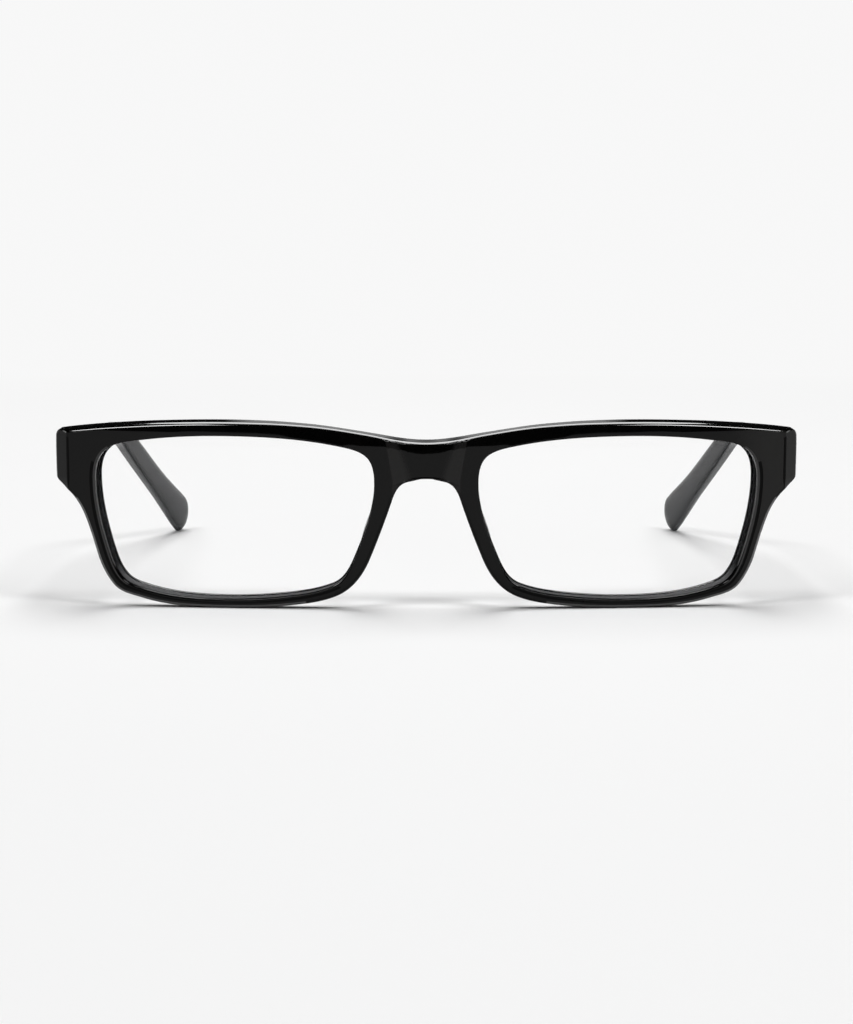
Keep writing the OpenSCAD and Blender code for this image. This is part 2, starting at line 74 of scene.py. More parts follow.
TUCK_ANGLE, TUCK_LEN, TIP_ROLL, PANTO = 11.7, 14, 5, 6
BUTT_H, BEND_H, TIP_H = 8.6, 3.1, 8.6
BUTT_THK, BEND_THK, TIP_THK = 4, 2.4, 2.4
BUTT_GAP, BUTT_SQUARE, BEND_SQUARE, TIP_SQUARE = 0.15, 0.32, 0.38, 0.86
CORE_D, CORE_GAP, CORE_SIDE = 1.2, 0.05, 0.35
AXIS_OFF, AXIS_SIDE = 1.5, 1.6
PLATE_THK, PLATE_H, PLATE_INSET, PLATE_LEAD = 1, 5.8, 1.5, 0.5
FRONT_PLATE_L, TEMPLE_PLATE_L, INLAY_GAP = 6, 10, 0.03

# How finely the smooth pieces are drawn. A corner's rounding takes no more than a share of
# either side, and its guard points lie a share of the rounding beyond it.
FINE, LOOP_FINE, BRIDGE_STEPS, LEAST_TURN = 6, 60, 24, 0.06
CORNER_STEPS, CORNER_MOST, GUARD = 5, 0.42, 0.14
SHARP_DEG, LENS_SHARP_DEG = 32, 20
TINY = 1e-9


def sin(a):
    return np.sin(np.radians(a))


def cos(a):
    return np.cos(np.radians(a))


def sided(name, side):
    return name + ("left" if side > 0 else "right")


def mix(a, b, t):
    return a + (b - a) * t


def ease(t):
    c = np.clip(t, 0, 1)
    return c * c * (3 - 2 * c)


def unit(v):
    return v / np.linalg.norm(v, axis=-1, keepdims=True)


# ---- Flat outlines: a node is (across, up, heading) ----
def wrap(a):
    return a - 360 * round(a / 360)


def reach(a, b):
    """How far a curve's handle reaches, as a share of its chord."""
    turn = (sin(a) - sin(b) / 16) * (sin(b) - sin(a) / 16) * (cos(a) - cos(b))
    flat = 3 + 1.5 * (math.sqrt(5) - 1) * cos(a) + 1.5 * (3 - math.sqrt(5)) * cos(b)
    return (2 + math.sqrt(2) * turn) / flat


def stretch(p, q, count):
    """The curve from node p up to node q, without q itself."""
    start, end = np.array(p[:2], float), np.array(q[:2], float)
    chord = end - start
    length, aim = np.hypot(*chord), math.degrees(math.atan2(chord[1], chord[0]))
    a, b = wrap(p[2] - aim), wrap(aim - q[2])
    first = start + length * reach(a, b) * np.array([cos(p[2]), sin(p[2])])
    second = end - length * reach(b, a) * np.array([cos(q[2]), sin(q[2])])
    t = (np.arange(count) / count)[:, None]
    s = 1 - t
    return s**3 * start + 3 * t * s**2 * first + 3 * t**2 * s * second + t**3 * end


# The lens opening, as shares of its half width and half height
LENS_FORM = [
    (-1, 0.43, 90), (-0.924, 0.79, 34), (-0.75, 0.889, 11.5), (0.06, 1, 0),
    (0.66, 0.933, -8), (0.952, 0.748, -53), (1, 0.41, -91), (0.912, -0.41, -106.5),
    (0.815, -0.76, -131), (0.652, -0.896, -164), (0.08, -1, -180), (-0.352, -0.956, -186.6),
    (-0.7, -0.825, -203), (-0.873, -0.421, -247.5),
]
OPEN_W, OPEN_H = LENS_W / 2 - LENS_SEAT, LENS_H / 2 - LENS_SEAT
LENS_X, LENS_Y = BRIDGE_W / 2 + LENS_W / 2, RIM_BOTTOM + OPEN_H
LENS_MID = np.array([LENS_X, LENS_Y])
OPEN_NODES = [(LENS_X + x * OPEN_W, LENS_Y + y * OPEN_H, h) for x, y, h in LENS_FORM]
BROW_Y = LENS_Y + OPEN_H + RIM_TOP
BRIDGE_TOP = BROW_Y - BRIDGE_DROP
SIDE_X = LENS_X + OPEN_W + END_W
END_TOP = BROW_Y - END_DROP
END_LOW = END_TOP - END_H
ARCH_H = BRIDGE_TOP - BRIDGE_H
ARCH_SIDE = (LENS_X - OPEN_W - RIM_NOSE - 0.6, ARCH_H - 4)
RIM_CORNER = (RIM_SIDE + RIM_BOTTOM) / 2 + 0.25
SIDE_FACE = SIDE_X - SIDE_BEVEL


def rim_node(i, width, count):
    x, y, h = OPEN_NODES[i]
    return (x - width * sin(h), y + width * cos(h), h, count)


# Half of the front's outline, each node with the number of points that follow it
OUTLINE_NODES = [
    (0, BRIDGE_TOP, 0, 5),
    (LENS_X - OPEN_W + 1.4, BROW_Y - 2.25, 7.5, 4),
    (LENS_X - 0.52 * OPEN_W, BROW_Y - 0.7, 5.3, 4),
    (LENS_X + 0.05 * OPEN_W, BROW_Y, 0, 4),
    (LENS_X + 0.72 * OPEN_W, BROW_Y - 0.7, -4.5, 6),
    (SIDE_X - 1, END_TOP, -9, 4),
    (SIDE_X, END_TOP - END_CORNER, -88, 4),
    (SIDE_X, END_LOW + END_CORNER, -91, 3),
    (SIDE_X - 1.3, END_LOW - 0.1, -149, 4),
    (LENS_X + OPEN_W + RIM_SIDE, LENS_Y + 0.3, -113, 4),
    rim_node(7, RIM_SIDE, 3),
    rim_node(8, RIM_CORNER, 4),
    rim_node(9, RIM_BOTTOM + 0.2, 4),
    rim_node(10, RIM_BOTTOM, 4),
    rim_node(11, RIM_BOTTOM + 0.15, 4),
    rim_node(12, RIM_BOTTOM + 0.35, 5),
    rim_node(13, RIM_NOSE, 4),
    (ARCH_SIDE[0], ARCH_SIDE[1], -251.6, 4),
    (ARCH_SIDE[0] - 2, ARCH_H - 0.9, -211, 3),
    (0, ARCH_H, -180, 1),
]
OUTLINE = np.concatenate(
    [stretch(a, b, a[3] * FINE) for a, b in zip(OUTLINE_NODES[:-1], OUTLINE_NODES[1:])]
    + [[[0, ARCH_H]]]
)
OUTLINE_N = len(OUTLINE)
MIDDLE = [[0, mix(ARCH_H, BRIDGE_TOP, i / BRIDGE_STEPS)] for i in range(1, BRIDGE_STEPS)]
OUTER = np.concatenate([OUTLINE, MIDDLE])
STATIONS = len(OUTER)


def closed(nodes, count):
    return np.concatenate(
        [stretch(a, b, count) for a, b in zip(nodes, nodes[1:] + nodes[:1])]
    )


def loop_normals(loop):
    chord = np.roll(loop, -1, 0) - np.roll(loop, 1, 0)
    return unit(np.stack([-chord[:, 1], chord[:, 0]], 1))


def bearing(p):
    """The direction of points from the lens's middle, in degrees."""
    return np.degrees(np.arctan2(p[:, 1] - LENS_Y, LENS_X - p[:, 0]))


def turns(angles):
    return (np.diff(angles, append=angles[0]) + 540) % 360 - 180


def facing_points(points):
    """The opening's points that face the points given, in the same order round it."""
    fine = closed(OPEN_NODES, LOOP_FINE)
    step = np.maximum(turns(bearing(points)), LEAST_TURN)
    step *= 360 / step.sum()
    at = bearing(points[:1]) + np.concatenate([[0], np.cumsum(step)[:-1]])
    radius = np.interp(
        at % 360, bearing(fine) % 360, np.linalg.norm(fine - LENS_MID, axis=1), period=360
    )
    return LENS_MID + radius[:, None] * np.stack([-cos(at), sin(at)], 1)


INNER = facing_points(OUTER)
INNER_N = loop_normals(INNER)
OUTER_N = loop_normals(OUTER)
OUTER_N[0], OUTER_N[OUTLINE_N - 1] = (0, 1), (0, -1)


# ---- From the flat sheet to the row frame ----
def bent(p):
    """Bends points of the flat front, (across, up, depth), round the face."""
    a = p[..., 0] / FRONT_R
    r = FRONT_R - p[..., 2]
    return np.stack([r * np.sin(a), FRONT_R - r * np.cos(a), p[..., 1]], -1)


TEMPLE_OUT = (FRONT_R - FRONT_THK) * math.sin(SIDE_X / FRONT_R)
AXIS_X = TEMPLE_OUT - BUTT_THK - AXIS_SIDE
AXIS_R = FRONT_R - FRONT_THK - AXIS_OFF
HINGE_TURN = math.degrees(math.asin(AXIS_X / AXIS_R))
AXIS_Y = FRONT_R - AXIS_R * cos(HINGE_TURN)
HINGE_MID = np.array([AXIS_X, AXIS_Y, (END_TOP + END_LOW) / 2 + 0.4])


def stand(points, lean, shift):
    """Leans points and stands them up, from millimetres to metres of the row frame."""
    x, y, z = np.moveaxis(np.asarray(points, float), -1, 0)
    y, z = y * cos(lean) - z * sin(lean), y * sin(lean) + z * cos(lean)
    return np.stack([x, y, z], -1) * MM + shift


def standing(joint):
    """How the front stands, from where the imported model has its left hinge."""
    axis = joint["axis"]
    lean = math.degrees(math.atan2(-axis[1], axis[2]))
    shift = np.array(joint["pos_m"]) - stand(HINGE_MID, lean, np.zeros(3))
    return lean, shift


# ---- Meshes ----
def fit_into(points, node):
    """Draws points in by a hair where a smooth curve passes its solid's facets."""
    lo, hi = (np.array(v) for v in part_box(node))
    own_lo, own_hi = points.min(0), points.max(0)
    lo, hi = np.maximum(lo, own_lo), np.minimum(hi, own_hi)
    return lo + (points - own_lo) * (hi - lo) / (own_hi - own_lo)


def make_piece(name, points, faces):
    mesh = bpy.data.meshes.new(name)
    mesh.from_pydata([tuple(p) for p in points], [], [tuple(f) for f in faces])
    mesh.validate()
    mesh.update()
    piece = bpy.data.objects.new(name, mesh)
    bpy.context.scene.collection.objects.link(piece)
    return piece


def paint(piece, materials, kinds):
    """Gives a piece its materials, and each of its faces the number of one."""
    for material in materials:
        piece.data.materials.append(material)
    piece.data.polygons.foreach_set("material_index", kinds)


def shade(piece, sharp=SHARP_DEG):
    mesh = piece.data
    mesh.shade_smooth()
    mesh.set_sharp_from_angle(angle=math.radians(sharp))


def corner(before, at, after, cut, steps=CORNER_STEPS, cut_after=None, most=CORNER_MOST):
    """A rounded corner, with a point on the flat on either side to keep it flat."""
    cut_after = cut if cut_after is None else cut_after
    to_a, to_b = before - at, after - at
    len_a = np.linalg.norm(to_a, axis=1, keepdims=True)
    len_b = np.linalg.norm(to_b, axis=1, keepdims=True)
    a = at + to_a / len_a * np.minimum(cut, most * len_a)
    b = at + to_b / len_b * np.minimum(cut_after, most * len_b)
    rows = [mix(a, at, -GUARD)]
    for t in np.linspace(0, 1, steps + 1):
        rows.append((1 - t) ** 2 * a + 2 * t * (1 - t) * at + t**2 * b)
    rows.append(mix(b, at, -GUARD))
    return rows


def at_depth(p, depth):
    """Puts flat points at a depth behind the front's face."""
    return np.concatenate([p, np.broadcast_to(depth, (len(p),))[:, None]], 1)


def bars(rings, sides, start=0, inward=False):
    """Quads along a row of rings."""
    faces = []
    for i in range(rings - 1):
        for k in range(sides):
            a, b = start + i * sides + k, start + i * sides + (k + 1) % sides
            quad = (a, a + sides, b + sides, b)
            faces.append(quad if not inward else quad[::-1])
    return faces


# ---- The front ----
# Its section: the lens's groove, the roundings of its corners and creases, how far the
# creases widen towards the endpieces, and the band beside the opening
GROOVE_D, GROOVE_Y = LENS_SEAT + LENS_FIT, FRONT_THK * 0.475
GROOVE_HALF = LENS_THK / 2 - 0.1
INNER_ROUND, REAR_ROUND, WALL_ROUND = 0.4, 0.2, 0.32
CREASE_IN, CREASE_OUT, SIDE_CREASE, BROW_CREASE, ROW_GAP = 0.12, 0.2, 0.3, 0.28, 0.03
BROW_CREASE_X, LIP_BAND = (33, 14), (0.7, 0.45)
LIP_DEPTH, REAR_LIP, REAR_LIP_MOST, WALL_EASE = 0.22, 0.9, 0.75, 0.45
GROOVE_CUT, GROOVE_STEPS, LEAST_WIDE, LEVEL = 0.05, 2, 0.01, 0.3
SCOOP_SOFT, SCOOP_WALL, BRINK_BACK, BRINK_SPAN, SWEEP_Y = 0.07, 0.25, 0.5, 9, (3, 2)

# Rows across the face: their numbers before, between and after the scoop's two creases,
# the rows close to each crease, and how near the edge the last rows may come
FACE_ROWS = (7, 5, 8)
MARK_STEPS = np.array([-1.6, -1, -0.5, 0, 0.5, 1, 1.6])
MARK_REACH, CROSS_STEPS, NO_CROSSING = 0.16, 201, 2.0
EDGE_GAP, ROW_HAIR = 0.01, 0.0006

# The front's finishes, and where they change: in from the front's side, out from the
# middle, and by how far the opening's normal points sideways
FACE, POLISHED, FILED, SATIN, UNDER = range(5)
SIDE_FILED, END_SATIN, END_NOTCH = 1.2, 4, 9
GLINT_X, NOTCH_X = (3.3, 6.2, 9.2), 22
WALL_SATIN, BAND_FROM, LIP_UNDER = 0.6, -0.5, 0.5
# A painted sheen lifts the face's colour to grey towards one endpiece and on the scoop's sides,
# standing in for the light they catch: its strength at the end and where and over what width it
# starts, the attribute's name, and its ramps in and out across the scoop's side.
END_SHEEN, END_SHEEN_X = 0.9, (54, 9)
SHEEN_ATTRIBUTE, SHEEN_IN, SHEEN_OUT = "sheen_painted", (0.1, 0.5), (1.25, 0.5)


def up_bridge(y):
    return np.clip((y - ARCH_H) / BRIDGE_H, 0, 1)


def scoop_side(y):
    return SCOOP_W / 2 * mix(SCOOP_TAPER, 1, up_bridge(y))


def scoop_foot(y):
    return SCOOP_W / 2 * mix(*SCOOP_FLOOR, up_bridge(y))


def scoop_share(x, y):
    """How far points lie down the scoop's side, 0 at its rim and 1 at its foot."""
    return (scoop_side(y) - np.abs(x)) / (scoop_side(y) - scoop_foot(y))


def soft_ramp(u, e):
    """Nothing below 0 and u above it, with the corner rounded over e to either side."""
    return np.where(u < -e, 0, np.where(u > e, u, (u + e) ** 2 / (4 * e)))


def soft_clamp(u, e):
    return 1 - soft_ramp(1 - soft_ramp(u, e), e)


def scoop(x, y):
    return SCOOP_D * soft_clamp(scoop_share(x, y), SCOOP_SOFT)


def wall_back(x, y):
    """How far the scoop sets the outline's wall back: a little in the nose arch, and a
    slow sweep without its facets along the bridge's top."""
    sweep = BRINK_BACK * ease((BRINK_SPAN - np.abs(x)) / BRINK_SPAN)
    swept = ease((y - BRIDGE_TOP + SWEEP_Y[0]) / SWEEP_Y[1])
    return mix(scoop(x, y) * SCOOP_WALL, sweep, swept)


# The brow falls away a little above a line that dips towards the bridge
FALL_TILT, FALL_SOFT = 0.15, 0.2
FALL_X = [0, 3, 6, 9, 16, 19, 23, 27, 31.5, 36, 80]
FALL_Y = [5.9, 5.6, 4.4, 4.3, 4.1, 3.5, 2.9, 2.35, 2.1, 2.05, 2.05]

# How far the filed brow stands above or below the sheet's outline, in hundredths of a
# millimetre by distance across, at the front's face and at its back
LIFT_X = [0, 2.2, 4.4, 6.6, 8.8, 11, 13.2, 15.4, 17.6, 22, 26.4, 30.7, 33, 37, 46, 52.7]
LIFT_X += [57, 61, 66]
FRONT_LIFT = [-16, -14, -9, 3, 22, 29, 35, 34, 31, 20, 16, 6, 0, -2, -2, 3, 8, 20, 24]
REAR_LIFT = [11, 10, 12, 14, 17, 22, 26, 24, 21, 15, 13, 10, 8, 5, 6, 15, 19, 26, 36]
LIFT_BELOW, LIFT_GROWTH = 8, 3
GLIDE, GLIDE_STEPS = 2.5, 11


def glide(x, xs, ys):
    """Interpolates with the corners smoothed away."""
    shifts = np.linspace(-GLIDE, GLIDE, GLIDE_STEPS)
    return np.mean([np.interp(np.abs(x + d), xs, ys) for d in shifts], 0)


def brow_lift(points, table):
    """Moves the outline's upper points up by a table."""
    upper = ease((points[:, 1] - (BROW_Y - LIFT_BELOW)) / LIFT_GROWTH)
    lifted = points.copy()
    lifted[:, 1] += upper * glide(points[:, 0], LIFT_X, np.array(table) / 100)
    return lifted


def brow_fall(x, y):
    above = y - (BROW_Y - np.interp(np.abs(x), FALL_X, FALL_Y))
    return FALL_TILT * soft_ramp(above, FALL_SOFT)


def crossing(lip, face, width_at):
    """Where lines from the lip to the face's edge cross a side of the scoop, as shares."""
    t = np.linspace(0, 1, CROSS_STEPS)
    line = lip[:, None] + (face - lip)[:, None] * t[None, :, None]
    inside = np.abs(line[..., 0]) < width_at(line[..., 1])
    first = np.argmax(inside, 1)
    found = inside.any(1) & (first > 0)
    i = np.maximum(first, 1)
    rows = np.arange(len(lip))
    gap = np.abs(line[..., 0]) - width_at(line[..., 1])
    g0, g1 = gap[rows, i - 1], gap[rows, i]
    share = t[i - 1] + (t[1] - t[0]) * g0 / np.maximum(g0 - g1, TINY)
    return np.where(found, share, NO_CROSSING)


def face_rows(lip, face):
    """Points across the face, close together where the scoop's facets meet."""
    length = np.linalg.norm(face - lip, axis=1)
    reach_t = MARK_REACH / length
    before, after, last = FACE_ROWS
    end = 1 - EDGE_GAP / length
    marks = [
        crossing(lip, face, width_at)[:, None] + MARK_STEPS[None] * reach_t[:, None]
        for width_at in (scoop_side, scoop_foot)
    ]
    first_high, second_low, second_high = marks[0][:, -1], marks[1][:, 0], marks[1][:, -1]
    span = np.minimum(marks[0][:, 0], end)
    ts = [span * j / before for j in range(1, before)]
    ts += list(marks[0].T)
    ts += [mix(first_high, second_low, j / after) for j in range(1, after)]
    ts += list(marks[1].T)
    ts += [mix(second_high, np.maximum(end, second_high), j / last) for j in range(1, last)]
    ts = np.array(ts)
    # Rows that would pass the edge wait just inside it, each a hair further out
    count = len(ts)
    limit = end[None] - (count - np.arange(count))[:, None] * ROW_HAIR / length[None]
    ts = np.minimum(ts, limit)
    return [lip + (face - lip) * t[:, None] for t in ts]


def front_rings():
    """Every station's closed section through the rim, (station, point, xyz), flat."""
    p, m, q, n = INNER, INNER_N, OUTER.copy(), OUTER_N
    outward = ease((q[:, 0] - BROW_CREASE_X[0]) / BROW_CREASE_X[1]) * (n[:, 1] > LEVEL)
    inset = q - EDGE_BEVEL * n
    face = np.stack([np.minimum(inset[:, 0], SIDE_FACE), inset[:, 1]], 1)
    bridge = np.arange(STATIONS) >= OUTLINE_N
    face[bridge] = q[bridge]
    wide = np.linalg.norm(q - face, axis=1)
    sideways = np.clip((wide - EDGE_BEVEL) / (SIDE_BEVEL - EDGE_BEVEL), 0, 1)
    deep = mix(BEVEL_SLOPE, SIDE_SLOPE, sideways) * np.maximum(wide, LEAST_WIDE)
    face = brow_lift(face, FRONT_LIFT)
    rim_front, rim_rear = brow_lift(q, FRONT_LIFT), brow_lift(q, REAR_LIFT)
    lip = p + INNER_ROUND * m
    mouth = at_depth(p, 0)
    rear_mouth = at_depth(p, FRONT_THK)
    crease, brink = at_depth(face, 0), at_depth(rim_front, deep)
    rear = at_depth(rim_rear, FRONT_THK)
    wall_in = at_depth(p, GROOVE_Y - GROOVE_HALF)
    wall_out = at_depth(p, GROOVE_Y + GROOVE_HALF)
    valley = at_depth(p + GROOVE_D * m, GROOVE_Y)
    rows = corner(wall_in, mouth, crease, LIP_DEPTH, cut_after=INNER_ROUND)
    crease_in = mix(mix(CREASE_IN, BROW_CREASE, outward), SIDE_CREASE, sideways)[:, None]
    crease_out = mix(mix(CREASE_OUT, BROW_CREASE, outward), SIDE_CREASE, sideways)[:, None]
    stop = face - ((1 + GUARD) * crease_in + ROW_GAP) * unit(face - p)
    room = np.linalg.norm(stop - lip, axis=1, keepdims=True)
    band = lip + np.minimum(LIP_BAND[0], LIP_BAND[1] * room) * unit(stop - lip)
    rows.append(at_depth(band, 0))
    rows += [at_depth(r, 0) for r in face_rows(band, stop)]
    edge = corner(mouth, crease, brink, crease_in, cut_after=crease_out)
    edge += corner(crease, brink, rear, WALL_ROUND, cut_after=WALL_EASE)
    edge += corner(brink, rear, rear_mouth, REAR_ROUND)
    seam = np.linspace(0, FRONT_THK, len(edge))
    for j, row in enumerate(edge):
        row[bridge] = at_depth(mix(rim_front, rim_rear, seam[j] / FRONT_THK)[bridge], seam[j])
    first_edge = len(rows)
    rows += edge
    last_edge = len(rows) - 1
    rows += corner(rear, rear_mouth, wall_out, REAR_LIP, most=REAR_LIP_MOST)
    groove = (rear_mouth, wall_out, valley, wall_in, mouth)
    for turn in zip(groove, groove[1:], groove[2:]):
        rows += corner(*turn, GROOVE_CUT, GROOVE_STEPS)
    rings = np.stack(rows, 1)
    x, y, depth = np.moveaxis(rings, -1, 0)
    brink_depth = deep[:, None]
    past = ease(2 * depth / brink_depth)
    fade = np.clip((FRONT_THK - depth) / (FRONT_THK - brink_depth), 0, 1)
    rings[..., 2] += (mix(scoop(x, y), wall_back(x, y), past) + brow_fall(x, y)) * fade
    return rings, first_edge, last_edge


def front_finish(sides, first_edge, last_edge):
    """Which finish each station's faces have round the section."""
    bevel_row = first_edge + CORNER_STEPS + 2
    band_row = CORNER_STEPS + 2
    across, rise = np.abs(OUTER[:, 0]), OUTER_N[:, 1]
    in_x, in_y = INNER_N.T
    end = across > SIDE_X - END_SATIN
    glint = (across < GLINT_X[0]) | ((across > GLINT_X[1]) & (across < GLINT_X[2]))
    finish = np.full((STATIONS, sides), POLISHED)
    finish[:, :first_edge] = FACE
    finish[across > SIDE_X - SIDE_FILED, first_edge : bevel_row + 1] = FILED
    finish[end, first_edge:bevel_row] = FILED
    finish[end & (rise < LEVEL), first_edge:bevel_row] = SATIN
    finish[glint, first_edge:bevel_row] = FACE
    finish[np.abs(in_x) > WALL_SATIN, last_edge + 1 :] = SATIN
    finish[(in_x > BAND_FROM) & (in_y < LEVEL), band_row] = SATIN
    finish[in_x > LIP_UNDER, :band_row] = UNDER
    finish[(across < NOTCH_X) & (rise < LEVEL), first_edge:last_edge] = FILED
    finish[(across > SIDE_X - END_NOTCH) & (rise < -LEVEL), bevel_row:last_edge] = FILED
    return finish


def painted_sheen_share(x, y):
    """How far a painted sheen lifts the face's colour at each point: on the scoop's sides, and
    faintly at one end.
    """
    share = scoop_share(x, y)
    sheen_painted = ease(share / SHEEN_IN[0] + SHEEN_IN[1]) * ease((SHEEN_OUT[0] - share) / SHEEN_OUT[1])
    return np.maximum(sheen_painted, END_SHEEN * ease((x - END_SHEEN_X[0]) / END_SHEEN_X[1]))


def build_front(lean, shift, materials):
    rings, first_edge, last_edge = front_rings()
    sides = rings.shape[1]
    half = rings.reshape(-1, 3)
    points = np.concatenate([half, half * (-1, 1, 1)])
    on_centre = np.zeros(STATIONS, bool)
    on_centre[0] = True
    on_centre[OUTLINE_N - 1 :] = True

    def index(side, i, k):
        shared = on_centre[i] and first_edge <= k <= last_edge
        return (0 if shared else side) * len(half) + i * sides + k

    faces, kinds = [], []
    finish = front_finish(sides, first_edge, last_edge)
    for i in range(STATIONS):
        j = (i + 1) % STATIONS
        for k in range(sides):
            l = (k + 1) % sides
            if on_centre[i] and on_centre[j] and first_edge <= k < last_edge:
                continue
            for side in (0, 1):
                quad = [index(side, *c) for c in ((i, k), (i, l), (j, l), (j, k))]
                faces.append(quad if side == 0 else quad[::-1])
                kinds.append(finish[i, k])
    used = np.zeros(len(points), bool)
    used[np.unique(faces)] = True
    renumber = np.cumsum(used) - 1
    faces = [[renumber[v] for v in f] for f in faces]
    flat = points[used]
    standing_up = fit_into(stand(bent(flat), lean, shift), "front")
    piece = make_piece("front_acetate_body", standing_up, faces)
    paint(piece, materials, kinds)
    # The painted sheen, as a point attribute for the face's materials to read.
    painted_sheen = piece.data.attributes.new(SHEEN_ATTRIBUTE, "FLOAT", "POINT")
    painted_sheen.data.foreach_set("value", painted_sheen_share(flat[:, 0], flat[:, 1]))
    for side in (1, -1):
        cut_pocket(piece, front_pocket(side, lean, shift))
    shade(piece)
    return piece


# ---- Pockets for the hinge plates ----
BOX_FACES = [(0, 1, 3, 2), (4, 6, 7, 5), (0, 4, 5, 1), (2, 3, 7, 6), (0, 2, 6, 4), (1, 5, 7, 3)]
POCKET_OPEN = 0.5


def plate_box(start, size):
    """The corners of a box round a hinge plate, with the inlay's gap, as x, y and z."""
    lo = np.array(start) - INLAY_GAP
    hi = lo + np.array(size) + 2 * INLAY_GAP
    grid = np.meshgrid(*zip(lo, hi), indexing="ij")
    return [axis.ravel() for axis in grid]


def at_hinge(x, y, z, side, lean, shift):
    """Points given from the left hinge's middle, at either hinge of the row frame."""
    return stand((np.stack([x, y, z], 1) + HINGE_MID) * (side, 1, 1), lean, shift)


def front_pocket(side, lean, shift):
    start = (-PLATE_INSET, -AXIS_OFF - PLATE_THK, -PLATE_H / 2)
    x, y, z = plate_box(start, (FRONT_PLATE_L, PLATE_THK + POCKET_OPEN, PLATE_H))
    s, c = sin(HINGE_TURN), cos(HINGE_TURN)
    return at_hinge(x * c - y * s, x * s + y * c, z, side, lean, shift)


def temple_pocket(side, lean, shift):
    start = (AXIS_SIDE - POCKET_OPEN, -PLATE_LEAD, -PLATE_H / 2)
    x, y, z = plate_box(start, (PLATE_THK + POCKET_OPEN, TEMPLE_PLATE_L, PLATE_H))
    s, c = sin(PANTO), cos(PANTO)
    return at_hinge(x, y * c + z * s, z * c - y * s, side, lean, shift)


def cut_pocket(piece, points):
    cutter = make_piece("cutter", points, BOX_FACES)
    modifier = piece.modifiers.new("pocket", "BOOLEAN")
    modifier.operation, modifier.solver, modifier.object = "DIFFERENCE", "EXACT", cutter
    apply_modifiers(piece)
    bpy.data.objects.remove(cutter)


def apply_modifiers(piece):
    graph = bpy.context.evaluated_depsgraph_get()
    mesh = bpy.data.meshes.new_from_object(piece.evaluated_get(graph))
    piece.modifiers.clear()
    piece.data = mesh


# ---- Lenses ----
LENS_RINGS = 22


def build_lens(side, lean, shift, materials):
    front, back = GROOVE_Y - LENS_THK / 2, GROOVE_Y + LENS_THK / 2
    shares = np.linspace(0, 1, LENS_RINGS + 1)[1:]

    def ring(share, inset, depth):
        edge = INNER - inset * INNER_N
        flat = LENS_MID + share * (edge - LENS_MID)
        return at_depth(flat, depth - LENS_DOME * (1 - share * share))

    rings = [ring(s, LENS_SHOULDER, front) for s in shares]
    rings.append(ring(1, -LENS_SEAT, GROOVE_Y))
    rings += [ring(s, LENS_SHOULDER, back) for s in shares[::-1]]
    middles = [at_depth(LENS_MID[None], d - LENS_DOME) for d in (front, back)]
    points = np.concatenate(rings + middles)
    points = stand(bent(points) * (side, 1, 1), lean, shift)
    n, last = STATIONS, len(rings) * STATIONS
    faces = [(last, i, (i + 1) % n) for i in range(n)]
    faces += [(last + 1, last - n + (i + 1) % n, last - n + i) for i in range(n)]
    faces += bars(len(rings), n)
    if side < 0:
        faces = [f[::-1] for f in faces]
    node = sided("lens_", side)
    piece = make_piece(node + "_clear", fit_into(points, node), faces)
    edge = np.zeros(len(faces), int)
    edge[(LENS_RINGS + 1) * n : (LENS_RINGS + 3) * n] = 1
    paint(piece, materials, edge)
    shade(piece, LENS_SHARP_DEG)
    return piece


# ---- Nose pads ----
PAD_RINGS, PAD_K = 41, 40
PAD_TOP = np.array([ARCH_SIDE[0] + 1.6, ARCH_SIDE[1] - 0.6])
PAD_FOOT = PAD_TOP + PAD_H * unit(np.array([RIM_NOSE + 1.2, -12.0]))
PAD_W = RIM_NOSE - 0.15
# The pad's lower part is narrower, and its ends and its back keep a little size
PAD_TRIM, TRIM_FROM, TRIM_OVER = 0.5, 0.3, 0.5
PAD_SPAN, LEAST_SWELL, PAD_END_W, PAD_FLAT, PAD_SKEW = 0.9995, 0.05, 0.55, 0.8, 0.3


def build_pad(side, lean, shift):
    rings = []
    for turn in np.linspace(-90, 90, PAD_RINGS):
        t = (1 + sin(turn) * PAD_SPAN) / 2
        swell = max(LEAST_SWELL, math.sqrt(1 - (2 * t - 1) ** 2))
        centre = mix(PAD_TOP, PAD_FOOT, t)
        trim = PAD_TRIM / 2 * ease((t - TRIM_FROM) / TRIM_OVER)
        half = PAD_W / 2 * mix(PAD_END_W, 1, swell) - trim
        a = np.linspace(0, 180, PAD_K)
        rise = PAD_D * swell * np.clip(sin(a), 0, 1) ** PAD_FLAT
        rise[[0, -1]] = 0
        x = half * cos(a)
        across, up = centre[0] + trim + x + PAD_LEAN * rise, centre[1] + PAD_SKEW * x
        rings.append(np.stack([across, up, FRONT_THK + GLUE + rise], 1))
    points = stand(bent(np.concatenate(rings)) * (side, 1, 1), lean, shift)
    faces = bars(PAD_RINGS, PAD_K) + [tuple(range(PAD_K))]
    last = (PAD_RINGS - 1) * PAD_K
    faces.append(tuple(range(last + PAD_K - 1, last - 1, -1)))
    if side > 0:
        faces = [f[::-1] for f in faces]
    node = sided("nose_pad_", side)
    piece = make_piece(node + "_acetate", fit_into(points, node), faces)
    shade(piece)
    return piece


# ---- Temples ----
BUTT_POINT = np.array([TEMPLE_OUT - BUTT_THK / 2, AXIS_Y, HINGE_MID[2]])
BUTT_NORMAL = np.array([-sin(HINGE_TURN), cos(HINGE_TURN), 0])
TAPER_LEN = BEND_AT * 0.55
BEND_LEN = BEND_R * math.radians(BEND_ANGLE)
TIP_FULL, TIP_ROUND = TEMPLE_LEN - 8, TIP_H * 0.5
TUCK_LEAD, THIN_LEAD, BORE_SHORT, ROUND_LEAST, ROUND_THIN = 3, 8, 3, 0.003, 0.45
